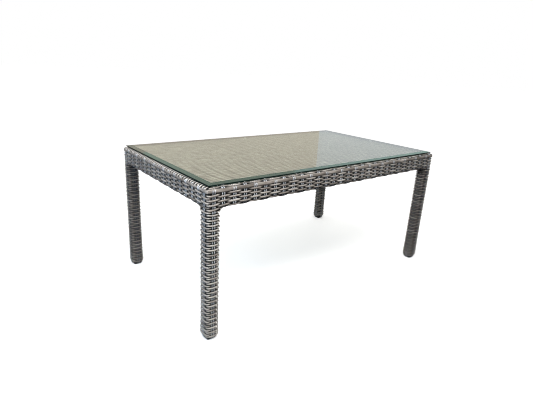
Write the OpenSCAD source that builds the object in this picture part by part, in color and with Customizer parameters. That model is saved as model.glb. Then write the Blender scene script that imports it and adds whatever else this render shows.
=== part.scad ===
/* [Table] */
// Length of the woven body, along X
table_l = 1016; // [920:2:1200]
// Width of the woven body, along Y
table_w = 586; // [520:2:700]
// Height of the wicker's top face above the floor
wicker_h = 448; // [380:1:520]
// Height of the woven apron
apron_h = 58.5; // [56:0.5:90]
// Radius of the body's upright corners and of the rolled top edge
corner_r = 10; // [9:0.5:12]

/* [Legs] */
// Width of a finished woven leg, which is square
leg_w = 41; // [36:0.5:50]
// Height of the plastic glide that shows under a leg
glide_h = 5; // [3:0.5:8]
// Width of a glide's square foot
glide_w = 26; // [22:0.5:28]

/* [Wicker] */
// Width of one stake strand
strand_w = 3.6; // [3:0.1:4.2]
// Thickness of the stakes, which lie against the frame
stake_t = 2.2; // [1.6:0.1:2.4]
// Thickness of the weavers outside the stakes
weaver_t = 3.3; // [2.6:0.1:3.4]
// Distance between the two strands of a stake pair
pair_gap = 6.3; // [5:0.1:7]
// Distance between the leg's stake pair and the next one
corner_pitch = 28; // [26:0.5:34]
// Stake pairs between the legs on a long side
long_pairs = 28; // [24:2:30]
// Stake pairs between the legs on a short side
short_pairs = 15; // [13:2:17]

/* [Frame] */
// Wall of the leg and rail tubes
tube_wall = 1.4; // [1.2:0.1:2]
// Width of a top rail, which is rectangular tube
rail_w = 20; // [18:0.5:24]
// Height of a top rail
rail_h = 35; // [24:0.5:37]
// Diameter of a lower rail, which is round bar
lower_rail_d = 10; // [8:0.5:12]
// Width of a cross bar
cross_bar_w = 18; // [15:1:18]
// Height of a cross bar
cross_bar_h = 15; // [12:0.5:20]
// Stake pitches from the table's middle to an outer cross bar
cross_bar_steps = 7; // [5:1:9]

/* [Glass] */
// Distance from the body's outer face to the glass edge
glass_inset = 9; // [6:0.5:14]
// Thickness of the glass
glass_t = 6; // [5.5:0.5:8]
// Height of the upright edge left below the bevel
glass_land = 3.2; // [2.6:0.2:4.6]
// Width of the bevel all round
bevel_w = 15; // [12:1:22]
// Thickness of the anti-slip pads between wicker and glass
pad_t = 2; // [1:0.5:3]
// Diameter of an anti-slip pad
pad_d = 12; // [8:1:16]

/* [Hidden] */
$fn = 48;
eps = 0.01;
weave_t = stake_t + weaver_t;
apron_z = wicker_h - apron_h;
inner_r = corner_r - weaver_t;
lip_w = rail_w;
hem_w = weave_t + lower_rail_d;

tube_w = leg_w - 2 * weave_t;
tube_r = 3;
tube_top = wicker_h - weave_t - 2.5;
rail_top = wicker_h - weave_t;
rail_r = 2;
lower_rail_z = apron_z + weave_t + lower_rail_d / 2;
plug_h = 20;
plug_play = 0.1;
glide_edge = 1.5;

long_pitch = (table_l - leg_w - 2 * corner_pitch) / (long_pairs - 1);
leg_x = (table_l - leg_w) / 2;
leg_y = (table_w - leg_w) / 2;
post_gap_l = table_l - 2 * (weave_t + tube_w);
post_gap_w = table_w - 2 * (weave_t + tube_w);
roll_z = wicker_h - corner_r;

staple_w = pair_gap + strand_w;
staple_t = 1;
staple_leg = 2.4;
staple_z = rail_top - rail_h / 3;

glass_z = wicker_h + pad_t;
glass_l = table_l - 2 * glass_inset;
glass_w = table_w - 2 * glass_inset;
pad_inset = 24;

WICKER = [0.50, 0.47, 0.44];
STAKE = [0.66, 0.68, 0.72];
POWDER_COAT = [0.22, 0.21, 0.20];
BLACK_PLASTIC = [0.05, 0.05, 0.05];
CLEAR_RUBBER = [0.82, 0.84, 0.82];
STEEL = [0.70, 0.71, 0.72];
GLASS = [0.60, 0.70, 0.65, 0.5];

// Centres of the stake pairs between the legs of a side that is side_l long.
function pair_places(side_l, pairs) =
    let (reach = side_l / 2 - leg_w / 2 - corner_pitch)
    [for (i = [0:pairs - 1]) -reach + 2 * reach * i / (pairs - 1)];

// The same with the pair in the middle of each leg's face.
function side_places(side_l, pairs) =
    concat([-(side_l - leg_w) / 2], pair_places(side_l, pairs), [(side_l - leg_w) / 2]);

// ---- outlines and solids that repeat ----

module rounded_square(size, r) {
    translate([-size[0] / 2 + r, -size[1] / 2])
        square([size[0] - 2 * r, size[1]]);
    translate([-size[0] / 2, -size[1] / 2 + r])
        square([size[0], size[1] - 2 * r]);
    for (x = [-1, 1])
        for (y = [-1, 1])
            translate([x * (size[0] / 2 - r), y * (size[1] / 2 - r)])
                circle(r);
}

// Rectangular tube along +Z from z = 0.
module box_tube(size, h, r) {
    linear_extrude(h)
        difference() {
            rounded_square(size, r);
            square([size[0] - 2 * tube_wall, size[1] - 2 * tube_wall], center = true);
        }
}

module at_leg(side_x, side_y) {
    translate([side_x * leg_x, side_y * leg_y, 0])
        children();
}

// Turns a thing made for the front side, facing -Y, to another side.
module on_side(side) {
    rotate([0, 0, side == "front" ? 0 : side == "right" ? 90 : side == "back" ? 180 : 270])
        children();
}

// ---- the woven skin ----

// Outline of the upright skin: x is the distance inward from the outer face, y is the height.
module wall_outline() {
    translate([0, apron_z])
        square([weaver_t, roll_z - apron_z]);
}

// Outline of the rolled top edge.
module roll_outline() {
    translate([corner_r, roll_z])
        intersection() {
            difference() {
                circle(corner_r);
                circle(inner_r);
            }
            translate([-corner_r, 0])
                square(corner_r);
        }
}

// Outline of the flat lip between the rolled edge and the woven top.
module lip_outline() {
    translate([corner_r, wicker_h - weaver_t])
        square([lip_w - corner_r, weaver_t]);
}

// Outline of the hem under the lower rail.
module hem_outline() {
    translate([weaver_t, apron_z])
        square([hem_w - weaver_t, weaver_t]);
}

// Sweeps an outline along the front side, centred, for a side whose outer face is at -side_y.
module along_side(run_l, side_y) {
    translate([-run_l / 2, -side_y, 0])
        rotate([90, 0, 90])
            linear_extrude(run_l)
                children();
}

// The skin round one upright corner, a quarter turn of the wall and the rolled edge.
module corner_skin() {
    rotate_extrude(angle = 90)
        intersection() {
            translate([corner_r, 0])
                mirror([1, 0])
                    union() {
                        wall_outline();
                        roll_outline();
                    }
            translate([0, apron_z])
                square([corner_r, apron_h]);
        }
}

// A long side's skin reaches round both of its corners.
module long_apron_weavers(side) {
    color(WICKER)
        on_side(side) {
            along_side(table_l - 2 * corner_r, table_w / 2) {
                wall_outline();
                roll_outline();
                lip_outline();
            }
            along_side(post_gap_l, table_w / 2)
                hem_outline();
            translate([-table_l / 2 + corner_r, -table_w / 2 + corner_r, 0])
                rotate([0, 0, 180])
                    corner_skin();
            translate([table_l / 2 - corner_r, -table_w / 2 + corner_r, 0])
                rotate([0, 0, 270])
                    corner_skin();
        }
}

module short_apron_weavers(side) {
    color(WICKER)
        on_side(side) {
            along_side(table_w - 2 * corner_r, table_l / 2)
                wall_outline();
            along_side(post_gap_w, table_l / 2)
                hem_outline();
        }
}

// The top's weavers where they turn over a short side's rolled edge.
module edge_wraps(side) {
    color(WICKER)
        on_side(side) {
            along_side(table_w - 2 * corner_r, table_l / 2)
                roll_outline();
            along_side(table_w - 2 * lip_w, table_l / 2)
                lip_outline();
        }
}

module apron_stakes(side, side_l, side_y, pairs) {
    color(STAKE)
        on_side(side)
            for (x = side_places(side_l, pairs))
                for (half = [-1, 1])
                    translate([
                        x + half * pair_gap / 2 - strand_w / 2,
                        -side_y + weaver_t,
                        apron_z + weaver_t
                    ])
                        cube([strand_w, stake_t, roll_z - apron_z - weaver_t]);
}

module top_weavers() {
    color(WICKER)
        translate([-table_l / 2 + lip_w, -table_w / 2 + lip_w, wicker_h - weaver_t])
            cube([table_l - 2 * lip_w, table_w - 2 * lip_w, weaver_t]);
}

module top_stakes() {
    color(STAKE)
        for (x = pair_places(table_l, long_pairs))
            for (half = [-1, 1])
                translate([
                    x + half * pair_gap / 2 - strand_w / 2,
                    -table_w / 2 + corner_r,
                    rail_top
                ])
                    cube([strand_w, table_w - 2 * corner_r, stake_t]);
}

module leg_weavers(side_x, side_y) {
    color(WICKER)
        at_leg(side_x, side_y)
            translate([0, 0, glide_h])
                linear_extrude(apron_z - glide_h)
                    difference() {
                        rounded_square([leg_w, leg_w], corner_r);
                        rounded_square([leg_w - 2 * weaver_t, leg_w - 2 * weaver_t], inner_r);
                    }
}

module leg_stakes(side_x, side_y) {
    color(STAKE)
        at_leg(side_x, side_y)
            for (turn = [0:90:270])
                rotate([0, 0, turn])
                    for (half = [-1, 1])
                        translate([tube_w / 2, half * pair_gap / 2 - strand_w / 2, glide_h])
                            cube([stake_t, strand_w, apron_z - glide_h]);
}

// One staple over a stake pair's end, pressed against a top rail's inner face.
module staple() {
    translate([-staple_w / 2, 0, -staple_t / 2])
        difference() {
            cube([staple_w, staple_leg, staple_t]);
            translate([staple_t, -eps, -eps])
                cube([staple_w - 2 * staple_t, staple_leg - staple_t + eps, staple_t + 2 * eps]);
        }
}

module side_staples(side, side_l, side_y, pairs) {
    on_side(side)
        for (x = pair_places(side_l, pairs))
            translate([x, -side_y + weave_t + rail_w, staple_z])
                staple();
}

module stake_staples() {
    color(STEEL) {
        side_staples("front", table_l, table_w / 2, long_pairs);
        side_staples("back", table_l, table_w / 2, long_pairs);
        side_staples("left", table_w, table_l / 2, short_pairs);
        side_staples("right", table_w, table_l / 2, short_pairs);
    }
}

// ---- the frame ----

module leg_tube(side_x, side_y) {
    color(POWDER_COAT)
        at_leg(side_x, side_y)
            translate([0, 0, glide_h])
                box_tube([tube_w, tube_w], tube_top - glide_h, tube_r);
}

module top_rail(side, side_y, rail_l) {
    color(POWDER_COAT)
        on_side(side)
            translate([-rail_l / 2, -side_y + weave_t + rail_w / 2, rail_top - rail_h / 2])
                rotate([90, 0, 90])
                    box_tube([rail_w, rail_h], rail_l, rail_r);
}

module lower_rail(side, side_y, rail_l) {
    color(POWDER_COAT)
        on_side(side)
            translate([-rail_l / 2, -side_y + hem_w - lower_rail_d / 2, lower_rail_z])
                rotate([0, 90, 0])
                    cylinder(h = rail_l, d = lower_rail_d);
}

// The bars run between two stake pairs, clear of the staples.
module cross_bar(place) {
    bar_l = table_w - 2 * (weave_t + rail_w);
    bar_x = place * cross_bar_steps * long_pitch;
    color(POWDER_COAT)
        translate([bar_x, bar_l / 2, rail_top - cross_bar_h / 2])
            rotate([90, 0, 0])
                box_tube([cross_bar_w, cross_bar_h], bar_l, rail_r);
}

module foot_glide(side_x, side_y) {
    plug_w = tube_w - 2 * tube_wall - 2 * plug_play;
    color(BLACK_PLASTIC)
        at_leg(side_x, side_y) {
            linear_extrude(glide_h)
                rounded_square([glide_w, glide_w], tube_r);
            translate([0, 0, glide_h])
                linear_extrude(plug_h)
                    rounded_square([plug_w, plug_w], glide_edge);
        }
}

// ---- the glass ----

module bevel_cut(side, side_l, side_y) {
    on_side(side)
        translate([-side_l / 2 - eps, -side_y, glass_z + glass_land])
            rotate([90, 0, 90])
                linear_extrude(side_l + 2 * eps)
                    polygon([
                        [-bevel_w, 0], [0, 0],
                        [bevel_w, glass_t - glass_land],
                        [bevel_w, glass_t], [-bevel_w, glass_t]
                    ]);
}

module glass_top() {
    color(GLASS)
        difference() {
            translate([-glass_l / 2, -glass_w / 2, glass_z])
                cube([glass_l, glass_w, glass_t]);
            bevel_cut("front", glass_l, glass_w / 2);
            bevel_cut("back", glass_l, glass_w / 2);
            bevel_cut("left", glass_w, glass_l / 2);
            bevel_cut("right", glass_w, glass_l / 2);
        }
}

module anti_slip_pads() {
    pad_x = table_l / 2 - pad_inset;
    pad_y = table_w / 2 - pad_inset;
    color(CLEAR_RUBBER)
        for (x = [-1, 0, 1])
            for (y = [-1, 0, 1])
                if (x != 0 || y != 0)
                    translate([x * pad_x, y * pad_y, wicker_h])
                        cylinder(h = pad_t, d = pad_d);
}

glass_top();
anti_slip_pads();
top_weavers();
top_stakes();
edge_wraps("left");  // left_edge_wraps
edge_wraps("right");  // right_edge_wraps
long_apron_weavers("front");  // front_apron_weavers
long_apron_weavers("back");  // back_apron_weavers
short_apron_weavers("left");  // left_apron_weavers
short_apron_weavers("right");  // right_apron_weavers
apron_stakes("front", table_l, table_w / 2, long_pairs);  // front_apron_stakes
apron_stakes("back", table_l, table_w / 2, long_pairs);  // back_apron_stakes
apron_stakes("left", table_w, table_l / 2, short_pairs);  // left_apron_stakes
apron_stakes("right", table_w, table_l / 2, short_pairs);  // right_apron_stakes
stake_staples();
leg_weavers(-1, -1);  // front_left_leg_weavers
leg_weavers(1, -1);  // front_right_leg_weavers
leg_weavers(-1, 1);  // back_left_leg_weavers
leg_weavers(1, 1);  // back_right_leg_weavers
leg_stakes(-1, -1);  // front_left_leg_stakes
leg_stakes(1, -1);  // front_right_leg_stakes
leg_stakes(-1, 1);  // back_left_leg_stakes
leg_stakes(1, 1);  // back_right_leg_stakes
leg_tube(-1, -1);  // front_left_leg_tube
leg_tube(1, -1);  // front_right_leg_tube
leg_tube(-1, 1);  // back_left_leg_tube
leg_tube(1, 1);  // back_right_leg_tube
foot_glide(-1, -1);  // front_left_foot_glide
foot_glide(1, -1);  // front_right_foot_glide
foot_glide(-1, 1);  // back_left_foot_glide
foot_glide(1, 1);  // back_right_foot_glide
top_rail("front", table_w / 2, post_gap_l);  // front_top_rail
top_rail("back", table_w / 2, post_gap_l);  // back_top_rail
top_rail("left", table_l / 2, post_gap_w);  // left_top_rail
top_rail("right", table_l / 2, post_gap_w);  // right_top_rail
lower_rail("front", table_w / 2, post_gap_l);  // front_lower_rail
lower_rail("back", table_w / 2, post_gap_l);  // back_lower_rail
lower_rail("left", table_l / 2, post_gap_w);  // left_lower_rail
lower_rail("right", table_l / 2, post_gap_w);  // right_lower_rail
cross_bar(-1);  // left_cross_bar
cross_bar(0);  // middle_cross_bar
cross_bar(1);  // right_cross_bar
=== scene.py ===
"""A wicker coffee table with a loose bevelled glass plate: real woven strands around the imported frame."""

import math

import bpy
import numpy as np
from mathutils import Matrix, Vector


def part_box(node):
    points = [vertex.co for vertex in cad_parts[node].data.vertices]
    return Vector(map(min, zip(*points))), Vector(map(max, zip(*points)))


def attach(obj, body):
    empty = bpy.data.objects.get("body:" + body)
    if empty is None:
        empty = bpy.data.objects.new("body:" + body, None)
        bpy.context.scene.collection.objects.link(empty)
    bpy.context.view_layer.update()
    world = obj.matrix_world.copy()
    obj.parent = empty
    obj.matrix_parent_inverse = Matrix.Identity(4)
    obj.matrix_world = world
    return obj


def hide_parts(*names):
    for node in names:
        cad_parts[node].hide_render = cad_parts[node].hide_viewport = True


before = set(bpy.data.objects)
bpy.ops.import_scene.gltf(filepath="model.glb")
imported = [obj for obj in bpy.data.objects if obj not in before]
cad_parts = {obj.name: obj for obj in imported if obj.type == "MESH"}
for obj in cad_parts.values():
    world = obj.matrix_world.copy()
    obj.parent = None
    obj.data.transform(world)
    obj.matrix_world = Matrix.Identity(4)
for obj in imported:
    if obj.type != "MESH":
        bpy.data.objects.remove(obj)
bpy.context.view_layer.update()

MM = 0.001
RNG = np.random.default_rng(7)

# ---- sizes taken from the frame ----

apron_low, apron_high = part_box("front_apron_weavers")
leg_low, leg_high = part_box("front_left_leg_weavers")
rail_low, rail_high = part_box("front_top_rail")
bar_low, bar_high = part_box("front_lower_rail")
tube_low, tube_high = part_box("front_left_leg_tube")
top_stake_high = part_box("top_stakes")[1]
glass_low, glass_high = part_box("glass_top")

HALF_L = apron_high.x
HALF_W = -apron_low.y
APRON_Z = apron_low.z
TOP_Z = apron_high.z
ROLL_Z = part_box("left_apron_weavers")[1].z
ROLL_R = TOP_Z - ROLL_Z
LIP = apron_high.y + HALF_W
LEG_W = leg_high.x - leg_low.x
LEG_Z = leg_low.z
TUBE_W = tube_high.x - tube_low.x
WEAVE = rail_low.y + HALF_W
RAIL_TOP = rail_high.z
RAIL_W = rail_high.y - rail_low.y
RAIL_INNER = WEAVE + RAIL_W
BAR_R = (bar_high.z - bar_low.z) / 2
BAR_Z = (bar_high.z + bar_low.z) / 2

# ---- the strands ----

WEAVER_W = 5.5 * MM
APRON_WEAVER_W = 5.7 * MM
TOP_WEAVER_W = 5.8 * MM
LEG_WEAVER_W = 4.8 * MM
EDGE_TURN_W = 4.8 * MM
WEAVER_T = 2.9 * MM
STAKE_W = 3.0 * MM
STAKE_T = 1.8 * MM
PAIR_GAP = 6.3 * MM
CAD_STAKE_W = 3.6 * MM
BAND_W = 10.6 * MM
BAND_T = 1.9 * MM
BAND_TUCK = 3.4 * MM
BAND_TUCK_REACH = 15 * MM
CLEARANCE = 0.1 * MM
OVER = WEAVE - WEAVER_T / 2
UNDER = WEAVER_T / 2 + CLEARANCE
MID = (OVER + UNDER) / 2
SWING = (OVER - UNDER) / 2
STAKE_OUT = UNDER + (WEAVER_T + STAKE_T) / 2 + 0.05 * MM
STAKE_IN = OVER - (WEAVER_T + STAKE_T) / 2
BAND_OVER = WEAVE - BAND_T / 2
BAND_UNDER = BAND_OVER - 1.5 * MM
STAKE_ON_BAND = BAND_UNDER + (BAND_T + STAKE_T) / 2
STAKE_IN_BAND = BAND_OVER - (BAND_T + STAKE_T) / 2

# A weaver's narrowest width, where it is pressed in behind a stake pair, as a share of its full width.
APRON_SQUEEZE = 0.6
TOP_SQUEEZE = 0.3
LEG_SQUEEZE = 0.5

# Painted shade in the hollows: full at the first of these distances off the frame, none from the second on.
SHADED_DEPTH = 0.33 * WEAVE
UNSHADED_DEPTH = 0.6 * WEAVE

# The weave's middle line goes round the lower rail, up the wall and over the rolled edge. WALL, BAND_S and
# ROWS are distances along it, from 0 level with the lower rail's middle.
BAR_U = WEAVE + BAR_R
WALL = ROLL_Z - BAR_Z
HEM_R = BAR_R + MID
EDGE_R = ROLL_R - WEAVE + MID
WALL_END = WALL + EDGE_R * math.pi / 2
ROW_PITCH = 5.85 * MM
WALL_ROWS = 9
LEG_ROW = 2
LAST_ROW = WALL - 8 * MM
BAND_S = WALL + 1.1 * MM
EDGE_ROW_S = WALL + 10.2 * MM
ROWS = np.append(LAST_ROW - ROW_PITCH * np.arange(WALL_ROWS)[::-1], [BAND_S, EDGE_ROW_S])
ROW_SAG = 0.45 * MM
BAND = WALL_ROWS
EDGE_ROW = WALL_ROWS + 1

LONG_PAIRS = 28
SHORT_PAIRS = 15
LEG_MID = LEG_W / 2
LEG_ROW_PITCH = 6.95 * MM
LEG_DROP = 2.6 * MM
LEG_DROP_MORE = 0.45 * MM
LEG_DROP_REACH = 75 * MM
LEG_TOP_ROW = BAR_Z + ROWS[LEG_ROW] - LEG_DROP - (BAND - LEG_ROW) * LEG_DROP_MORE - LEG_ROW_PITCH
LEG_SAG = 0.9 * MM
TOP_ROWS = 91
FIRST_TOP_ROW = 12 * MM


def pair_places(half_side, stakes_high, pairs):
    """Middles of the stake pairs along a side, with the pair on each leg's face first and last."""
    reach = stakes_high - (PAIR_GAP + CAD_STAKE_W) / 2
    places = np.linspace(-reach, reach, pairs)
    return np.concatenate([[-half_side + LEG_MID], places, [half_side - LEG_MID]])


LONG_PLACES = pair_places(HALF_L, top_stake_high.x, LONG_PAIRS)
SHORT_REACH = HALF_W - LEG_MID - (LONG_PLACES[1] - LONG_PLACES[0])
SHORT_PLACES = pair_places(HALF_W, SHORT_REACH + (PAIR_GAP + CAD_STAKE_W) / 2, SHORT_PAIRS)
PAIR_JITTER = 0.8 * MM
LONG_PLACES[1:-1] += RNG.uniform(-PAIR_JITTER, PAIR_JITTER, LONG_PAIRS)
SHORT_PLACES[1:-1] += RNG.uniform(-PAIR_JITTER, PAIR_JITTER, SHORT_PAIRS)

# Every side: half of its length, distance of its outer face, quarter turns, its stake pairs, first column.
SIDES = {
    "front": (HALF_L, HALF_W, 0, LONG_PLACES, 0),
    "right": (HALF_W, HALF_L, 1, SHORT_PLACES, LONG_PAIRS + 2),
    "back": (HALF_L, HALF_W, 2, LONG_PLACES, LONG_PAIRS + SHORT_PAIRS + 4),
    "left": (HALF_W, HALF_L, 3, SHORT_PLACES, 2 * LONG_PAIRS + SHORT_PAIRS + 6),
}
CORNERS = {"front_left": (-1, -1), "front_right": (1, -1), "back_left": (-1, 1), "back_right": (1, 1)}

# Painted light and shade: each leg's strands get their own tone, lighter or darker, for how much light
# falls on it.
LEG_LIGHT_TONES = {(-1, -1): 0.8, (1, -1): 0.2, (-1, 1): 0.2, (1, 1): 0.9}

# Painted shade on some legs' stakes, as if they lay this much nearer to the frame.
LEG_STAKE_SHADE = {(-1, -1): 0.1, (1, -1): 0.3, (-1, 1): 0.3, (1, 1): 0}

# Outline across a strand: half round outside, flat inside. Across in half widths, out in thicknesses.
HALF_ROUND = np.array([
    (-0.78, -0.5), (0.78, -0.5), (1, -0.2), (0.84, 0.16),
    (0.36, 0.46), (-0.36, 0.46), (-0.84, 0.16), (-1, -0.2),
])
ROUND = np.array([(math.cos(a), math.sin(a) / 2) for a in np.arange(8) * math.tau / 8])


def turned(vectors, quarters):
    """Vectors turned about Z by quarter turns."""
    c, s = ((1, 0), (0, 1), (-1, 0), (0, -1))[quarters % 4]
    out = np.array(vectors, float)
    out[:, 0] = c * vectors[:, 0] - s * vectors[:, 1]
    out[:, 1] = s * vectors[:, 0] + c * vectors[:, 1]
    return out


def unit(vectors):
    return vectors / np.linalg.norm(vectors, axis=1, keepdims=True)


def strand(points, normals, depth, width, thickness, tone, closed=False):
    """A strand's middle line, the way its round side faces, and a depth that only decides its painted
    shade.

    The depth is the distance off the frame, or less where a strand gets more painted shade than it would
    there.
    """
    return {
        "points": np.asarray(points, float),
        "normals": np.asarray(normals, float),
        "depth": depth,
        "width": width,
        "thickness": thickness,
        "tone": tone,
        "closed": closed,
        "tangents": None,
        "start": 0.0,
    }


def loop_tangents(points):
    return unit(np.roll(points, -1, 0) - np.roll(points, 1, 0))


def rise(values, low, high):
    """0 up to low, 1 from high on, and a smooth rise between."""
    t = np.clip((values - low) / (high - low), 0, 1)
    return t * t * (3 - 2 * t)


def strand_geometry(s, outline):
    """Rings of vertices along one strand, how far each vertex is out of painted shade, and each ring's
    distance.
    """
    p, n = s["points"], s["normals"]
    if s["tangents"] is not None:
        tangents = s["tangents"]
    elif s["closed"]:
        tangents = loop_tangents(p)
    else:
        tangents = unit(np.gradient(p, axis=0))
    across = unit(np.cross(tangents, n))
    out = np.cross(across, tangents)
    half = np.broadcast_to(np.asarray(s["width"]) / 2, (len(p),))
    rings = (
        p[:, None]
        + across[:, None] * outline[None, :, :1] * half[:, None, None]
        + out[:, None] * outline[None, :, 1:] * s["thickness"]
    )
    depth = np.broadcast_to(s["depth"], (len(p),))
    # Painted shade: strands deep in the weave are darkened, and every strand's flanks and flat back more
    # than its crest.
    unshaded = rise(depth, SHADED_DEPTH, UNSHADED_DEPTH)[:, None] * rise(outline[None, :, 1], -0.6, 0.46)
    steps = np.linalg.norm(np.diff(p, axis=0), axis=1)
    return rings, unshaded, s["start"] + np.concatenate([[0], np.cumsum(steps)])


def strands_mesh(name, strands, outline=HALF_ROUND):
    """One mesh of many strands, with lengthwise and crosswise UVs and a tone on each strand."""
    k = len(outline)
    across_v = np.arange(k + 1) / k
    verts, loops, sizes, uvs, tones, unshaded_lists = [], [], [], [], [], []
    base = 0
    for s in strands:
        rings, unshaded, length = strand_geometry(s, outline)
        n = len(rings)
        spans = n if s["closed"] else n - 1
        i = np.arange(spans)[:, None]
        j = np.arange(k)[None, :]
        i2 = (i + 1) % n
        j2 = (j + 1) % k
        quads = np.stack([i * k + j, i2 * k + j, i2 * k + j2, i * k + j2], -1).reshape(-1, 4) + base
        ends = np.append(length, 2 * length[-1] - length[-2])
        u0 = np.broadcast_to(ends[:spans, None], (spans, k))
        u1 = np.broadcast_to(ends[1 : spans + 1, None], (spans, k))
        v0 = np.broadcast_to(across_v[None, :-1], (spans, k))
        v1 = np.broadcast_to(across_v[None, 1:], (spans, k))
        uv = np.stack([u0, v0, u1, v0, u1, v1, u0, v1], -1).reshape(-1, 2)
        verts.append(rings.reshape(-1, 3))
        loops.append(quads.reshape(-1))
        sizes.append(np.full(len(quads), 4))
        uvs.append(uv)
        tones.append(np.full(n * k, s["tone"]))
        unshaded_lists.append(unshaded.reshape(-1))
        if not s["closed"]:
            caps = np.concatenate([np.arange(k), (n - 1) * k + np.arange(k)[::-1]]) + base
            loops.append(caps)
            sizes.append(np.full(2, k))
            uvs.append(np.tile([0.0, 0.5], (2 * k, 1)))
        base += n * k
    mesh = bpy.data.meshes.new(name)
    verts, loops, sizes = np.concatenate(verts), np.concatenate(loops), np.concatenate(sizes)
    mesh.vertices.add(len(verts))
    mesh.vertices.foreach_set("co", verts.astype(np.float32).reshape(-1))
    mesh.loops.add(len(loops))
    mesh.loops.foreach_set("vertex_index", loops.astype(np.int32))
    mesh.polygons.add(len(sizes))
    starts = np.concatenate([[0], np.cumsum(sizes)[:-1]])
    mesh.polygons.foreach_set("loop_start", starts.astype(np.int32))
    mesh.polygons.foreach_set("use_smooth", sizes == 4)
    mesh.update(calc_edges=True)
    uv_layer = mesh.uv_layers.new(name="Strand")
    uv_layer.data.foreach_set("uv", np.concatenate(uvs).astype(np.float32).reshape(-1))
    for label, values in (("tone", tones), ("unshaded", unshaded_lists)):
        attribute = mesh.attributes.new(label, "FLOAT", "POINT")
        attribute.data.foreach_set("value", np.concatenate(values).astype(np.float32))
    mesh.validate()
    return mesh


def piece(name, mesh, material, body, slot, *nodes):
    """Puts a mesh in the scene as a piece that rides on a body and stands for some CAD nodes."""
    thing = bpy.data.objects.new(name, mesh)
    bpy.context.scene.collection.objects.link(thing)
    if not mesh.materials:
        mesh.materials.append(material)
    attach(thing, body)
    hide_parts(*nodes)


# ---- how strands pass over and under each other ----


def weave_wave(phase):
    """1 where a weaver passes over a column, -1 where it passes under, flat at both."""
    c = np.cos(math.pi * phase)
    return np.sign(c) * np.abs(c) ** 0.7


def squeezed(width, wave, least):
    """A weaver's width: full where it passes over, narrowest where it is pressed in behind a stake pair."""
    return width * (1 - (1 - least) * ((1 - wave) / 2) ** 2)


def wobble(along, size):
    """A slow random waver along a strand."""
    waves = RNG.uniform(0.10, 0.5, 3)
    starts = RNG.uniform(0, math.tau, 3)
    return size * sum(np.sin(math.tau * along / w + a) for w, a in zip(waves, starts)) / 3


SIDE_STEP = 4.2 * MM


def side_plan(side, corner_turn, tail):
    """A side's line on the rolled edge's middle, with outward normals, columns and distances along it."""
    half, face, quarters, places, first = SIDES[side]
    straight = half - ROLL_R
    run = np.linspace(-straight, straight, int(2 * straight / SIDE_STEP) + 1)
    turns = np.linspace(corner_turn, 0, 5)[:-1]
    tails = np.linspace(tail, 0, 3)[:-1] if tail else np.zeros(0)
    ends = np.full(len(tails) + len(turns), straight)
    x = np.concatenate([-ends, run, ends])
    tail_turns = np.full(len(tails), corner_turn)
    a = np.concatenate([-tail_turns, -turns, 0 * run, turns[::-1], tail_turns])
    y = np.full(len(x), -face + ROLL_R)
    y[: len(tails)] += tails
    y[len(y) - len(tails) :] += tails[::-1]
    along = x + a * ROLL_R
    corner = half - ROLL_R * (1 - math.pi / 4)
    last = first + len(places) - 1
    columns = np.concatenate([[first - 0.5], np.arange(first, last + 1), [last + 0.5]])
    column = np.interp(along, np.concatenate([[-corner], places, [corner]]), columns)
    beyond = np.abs(a) > math.pi / 4
    column[beyond] += (np.abs(a[beyond]) - math.pi / 4) / (math.pi / 2) * np.sign(a[beyond])
    plan = np.stack([x, y, np.zeros(len(x))], -1)
    out = np.stack([np.sin(a), -np.cos(a), np.zeros(len(x))], -1)
    return turned(plan, quarters), turned(out, quarters), column, along


def over_frame(s):
    """Point on the frame and outward normal, both as (inward, height), at s along the weave's middle.

    s is 0 level with the lower rail's middle. It grows up the wall, over the rolled edge and inward on the
    top. Below 0 it goes round under the lower rail and up behind it.
    """
    s = np.asarray(s, float)
    hem = np.clip(s / HEM_R, -math.pi, 0)
    edge = np.clip((s - WALL) / EDGE_R, 0, math.pi / 2)
    turn = hem + edge
    normal = np.stack([-np.cos(turn), np.sin(turn)], -1)
    above = s > WALL
    centre_u = np.where(above, ROLL_R, BAR_U) + np.clip(s - WALL_END, 0, None)
    centre_z = BAR_Z + np.clip(s, 0, WALL) + np.clip(-math.pi * HEM_R - s, 0, None)
    radius = np.where(above, ROLL_R - WEAVE, BAR_R)
    return np.stack([centre_u, centre_z], -1) + normal * radius[..., None], normal


HEM_FLAT_REACH = 9 * MM
HEM_INTO_LEG = 2 * MM
APRON_CORNER_BULGE = 0.8 * MM
EDGE_ROW_TAIL = 8 * MM

# The edge row sinks in behind the short sides' weave over this part of a column past its last pair.
SINK_COLUMNS = 0.9


def near_leg(along, half):
    """1 on a leg, 0 where the hem runs free."""
    clear = half - LEG_W - np.abs(along)
    return np.clip(1 - clear / HEM_FLAT_REACH, 0, 1) ** 2


def leg_drop(row, along, half):
    """How far a row lies lower at this place, because the rows spread out a little towards the legs."""
    near = 1 - np.clip((half - LEG_MID - np.abs(along)) / LEG_DROP_REACH, 0, 1)
    return (LEG_DROP + (BAND - row) * LEG_DROP_MORE) * near**2 if row < BAND else 0 * along


def corner_bulge(column, first, count):
    """1 at a corner's middle, 0 at the columns on either side of it."""
    near = np.minimum(np.abs(column - (first - 0.5)), np.abs(column - (first + count - 0.5)))
    return np.clip(1 - 2 * near, 0, 1)


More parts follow.
